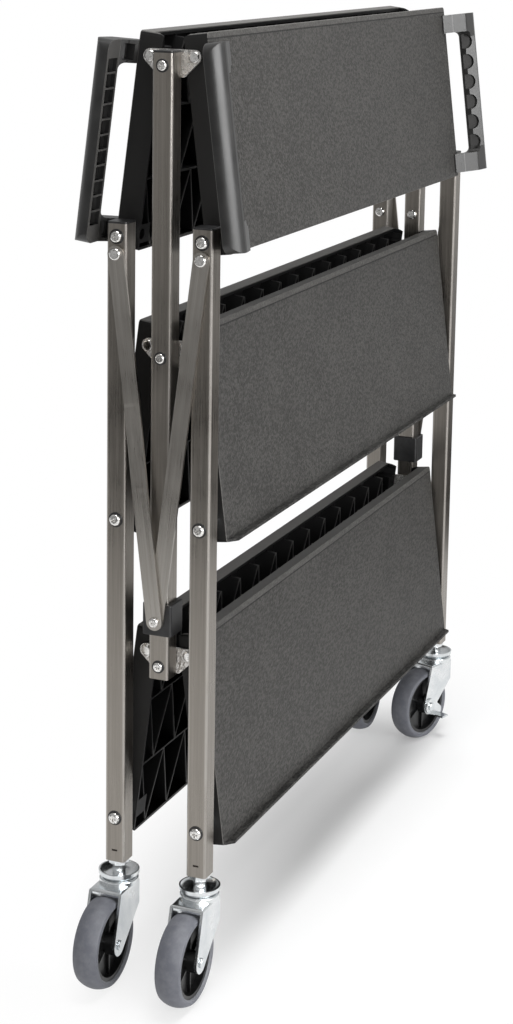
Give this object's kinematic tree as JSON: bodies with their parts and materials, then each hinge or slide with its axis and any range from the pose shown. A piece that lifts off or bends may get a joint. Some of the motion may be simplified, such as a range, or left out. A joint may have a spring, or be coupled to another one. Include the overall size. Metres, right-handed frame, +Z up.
{
  "type": "folding trolley",
  "caption": "Folding shelf trolley: shelf halves hinged on centre posts fold flat between tube legs, with brace bars on sliders, loop grips at both ends and swivel casters, the far ones braked.",
  "frame": {"origin": "on the floor under the middle of the folded trolley's overall box", "axes": "+X along the trolley from the unbraked end to the braked end, +Y to its left side, +Z up"},
  "size_m": [0.9394, 0.1934, 1.0337],
  "materials": {
    "tube_steel": "brushed stainless",
    "bracket_steel": "stamped, bright",
    "fastener": "bright screw heads, bolts and pins",
    "zinc": "bright zinc",
    "tread": "fine textured charcoal plastic, black ribs below",
    "grip": "satin charcoal plastic",
    "black_plastic": "moulded black plastic",
    "tyre": "grey rubber"
  },
  "bodies": {
    "left_legs": {"near_left_leg": "tube_steel", "far_left_leg": "tube_steel", "left_leg_plugs": "black_plastic", "left_leg_bolts": "fastener", "left_spacers": "zinc", "left_brace_rivets": "fastener", "left_caster_stems": "zinc"},
    "left_top_half": {"left_top_shelf": "tread", "near_left_grip": "grip", "far_left_grip": "grip", "left_grip_screws": "fastener"},
    "left_mid_half": {"left_mid_shelf": "tread"},
    "left_low_half": {"left_low_shelf": "tread"},
    "right_legs": {"near_right_leg": "tube_steel", "far_right_leg": "tube_steel", "right_leg_plugs": "black_plastic", "right_leg_bolts": "fastener", "right_spacers": "zinc", "right_brace_rivets": "fastener", "right_caster_stems": "zinc"},
    "right_top_half": {"right_top_shelf": "tread", "near_right_grip": "grip", "far_right_grip": "grip", "right_grip_screws": "fastener"},
    "right_mid_half": {"right_mid_shelf": "tread"},
    "right_low_half": {"right_low_shelf": "tread"},
    "centre_frame": {"near_post": "tube_steel", "far_post": "tube_steel", "post_plugs": "black_plastic", "hinge_brackets": "bracket_steel", "bracket_screws": "fastener", "hinge_pins": "fastener"},
    "near_slider": {"near_slider": "black_plastic"},
    "near_left_brace": {"near_left_brace": "tube_steel", "near_brace_screw": "fastener"},
    "near_left_caster": {"near_left_fork": "zinc", "near_left_axle": "zinc"},
    "near_left_wheel": {"near_left_hub": "black_plastic", "near_left_tyre": "tyre"},
    "near_right_brace": {"near_right_brace": "tube_steel"},
    "near_right_caster": {"near_right_fork": "zinc", "near_right_axle": "zinc"},
    "near_right_wheel": {"near_right_hub": "black_plastic", "near_right_tyre": "tyre"},
    "far_slider": {"far_slider": "black_plastic"},
    "far_left_brace": {"far_left_brace": "tube_steel"},
    "far_left_caster": {"far_left_fork": "zinc", "far_left_axle": "zinc"},
    "far_left_wheel": {"far_left_hub": "black_plastic", "far_left_tyre": "tyre"},
    "far_right_brace": {"far_right_brace": "tube_steel", "far_brace_screw": "fastener"},
    "far_right_caster": {"far_right_fork": "zinc", "far_right_axle": "zinc"},
    "far_right_wheel": {"far_right_hub": "black_plastic", "far_right_tyre": "tyre"},
    "far_left_pedal": {"far_left_pedal": "zinc"},
    "far_right_pedal": {"far_right_pedal": "zinc"}
  },
  "joints": [
    {"name": "fold", "type": "hinge", "parent": "left_legs", "child": "left_top_half", "pos_m": [0.03175, 0.0485, 0.822], "axis": [1, 0, 0], "range_deg": [0, 82.8]},
    {"name": "left_top_pins", "type": "hinge", "parent": "left_top_half", "child": "centre_frame", "pos_m": [0.03175, 0.025, 1.008], "axis": [1, 0, 0], "range_deg": [-82.81, 0]},
    {"name": "right_top_pins", "type": "hinge", "parent": "centre_frame", "child": "right_top_half", "pos_m": [0.03175, -0.025, 1.008], "axis": [1, 0, 0], "range_deg": [-82.81, 0]},
    {"name": "right_top_bolts", "type": "hinge", "parent": "right_top_half", "child": "right_legs", "pos_m": [0.03175, -0.0485, 0.822], "axis": [1, 0, 0], "range_deg": [0, 82.81]},
    {"name": "left_mid_bolts", "type": "hinge", "parent": "left_legs", "child": "left_mid_half", "pos_m": [0.03175, 0.0485, 0.5185], "axis": [1, 0, 0], "range_deg": [0, 82.81]},
    {"name": "right_mid_pins", "type": "hinge", "parent": "centre_frame", "child": "right_mid_half", "pos_m": [0.03175, -0.025, 0.7045], "axis": [1, 0, 0], "range_deg": [-82.81, 0]},
    {"name": "left_low_bolts", "type": "hinge", "parent": "left_legs", "child": "left_low_half", "pos_m": [0.03175, 0.0485, 0.1825], "axis": [1, 0, 0], "range_deg": [0, 82.81]},
    {"name": "right_low_pins", "type": "hinge", "parent": "centre_frame", "child": "right_low_half", "pos_m": [0.03175, -0.025, 0.3685], "axis": [1, 0, 0], "range_deg": [-82.81, 0]},
    {"name": "near_left_brace_pivot", "type": "hinge", "parent": "left_legs", "child": "near_left_brace", "pos_m": [-0.39325, 0.0485, 0.804], "axis": [1, 0, 0], "range_deg": [-25.61, 0]},
    {"name": "near_right_brace_pivot", "type": "hinge", "parent": "right_legs", "child": "near_right_brace", "pos_m": [-0.39325, -0.0485, 0.804], "axis": [1, 0, 0], "range_deg": [0, 25.61]},
    {"name": "far_left_brace_pivot", "type": "hinge", "parent": "left_legs", "child": "far_left_brace", "pos_m": [0.45675, 0.0485, 0.804], "axis": [1, 0, 0], "range_deg": [-25.61, 0]},
    {"name": "far_right_brace_pivot", "type": "hinge", "parent": "right_legs", "child": "far_right_brace", "pos_m": [0.45675, -0.0485, 0.804], "axis": [1, 0, 0], "range_deg": [0, 25.61]},
    {"name": "near_slider_slide", "type": "slide", "parent": "centre_frame", "child": "near_slider", "axis": [0, 0, 1], "range_m": [0, 0.2454]},
    {"name": "far_slider_slide", "type": "slide", "parent": "centre_frame", "child": "far_slider", "axis": [0, 0, 1], "range_m": [0, 0.2454]},
    {"name": "near_left_swivel", "type": "hinge", "parent": "left_legs", "child": "near_left_caster", "pos_m": [-0.38175, 0.0485, 0.11], "axis": [0, 0, 1], "range_deg": [-200, 20]},
    {"name": "near_left_roll", "type": "hinge", "parent": "near_left_caster", "child": "near_left_wheel", "pos_m": [-0.41975, 0.0485, 0.05], "axis": [0, 1, 0], "continuous": true},
    {"name": "near_right_swivel", "type": "hinge", "parent": "right_legs", "child": "near_right_caster", "pos_m": [-0.38175, -0.0485, 0.11], "axis": [0, 0, 1], "range_deg": [-20, 200]},
    {"name": "near_right_roll", "type": "hinge", "parent": "near_right_caster", "child": "near_right_wheel", "pos_m": [-0.41975, -0.0485, 0.05], "axis": [0, 1, 0], "continuous": true},
    {"name": "far_left_swivel", "type": "hinge", "parent": "left_legs", "child": "far_left_caster", "pos_m": [0.44525, 0.0485, 0.11], "axis": [0, 0, 1], "range_deg": [-200, 20]},
    {"name": "far_left_roll", "type": "hinge", "parent": "far_left_caster", "child": "far_left_wheel", "pos_m": [0.40725, 0.0485, 0.05], "axis": [0, 1, 0], "continuous": true},
    {"name": "far_left_brake", "type": "hinge", "parent": "far_left_caster", "child": "far_left_pedal", "pos_m": [0.40725, 0.0485, 0.05], "axis": [0, 1, 0], "range_deg": [-25, 0]},
    {"name": "far_right_swivel", "type": "hinge", "parent": "right_legs", "child": "far_right_caster", "pos_m": [0.44525, -0.0485, 0.11], "axis": [0, 0, 1], "range_deg": [-2, 218]},
    {"name": "far_right_roll", "type": "hinge", "parent": "far_right_caster", "child": "far_right_wheel", "pos_m": [0.40911, -0.03676, 0.05], "axis": [0.309, 0.9511, 0], "continuous": true},
    {"name": "far_right_brake", "type": "hinge", "parent": "far_right_caster", "child": "far_right_pedal", "pos_m": [0.40911, -0.03676, 0.05], "axis": [0.309, 0.9511, 0], "range_deg": [-25, 0]}
  ],
  "couplings": [
    {"joint": "left_top_pins", "follows": "fold", "ratio": -1},
    {"joint": "right_top_pins", "follows": "fold", "ratio": -1},
    {"joint": "right_top_bolts", "follows": "fold", "ratio": 1},
    {"joint": "left_mid_bolts", "follows": "fold", "ratio": 1},
    {"joint": "right_mid_pins", "follows": "fold", "ratio": -1},
    {"joint": "left_low_bolts", "follows": "fold", "ratio": 1},
    {"joint": "right_low_pins", "follows": "fold", "ratio": -1},
    {"joint": "near_left_brace_pivot", "follows": "fold", "ratio": -0.3092},
    {"joint": "near_right_brace_pivot", "follows": "fold", "ratio": 0.3092},
    {"joint": "far_left_brace_pivot", "follows": "fold", "ratio": -0.3092},
    {"joint": "far_right_brace_pivot", "follows": "fold", "ratio": 0.3092},
    {"joint": "near_slider_slide", "follows": "fold", "m_per_rad": 0.16974},
    {"joint": "far_slider_slide", "follows": "fold", "m_per_rad": 0.16974}
  ]
}
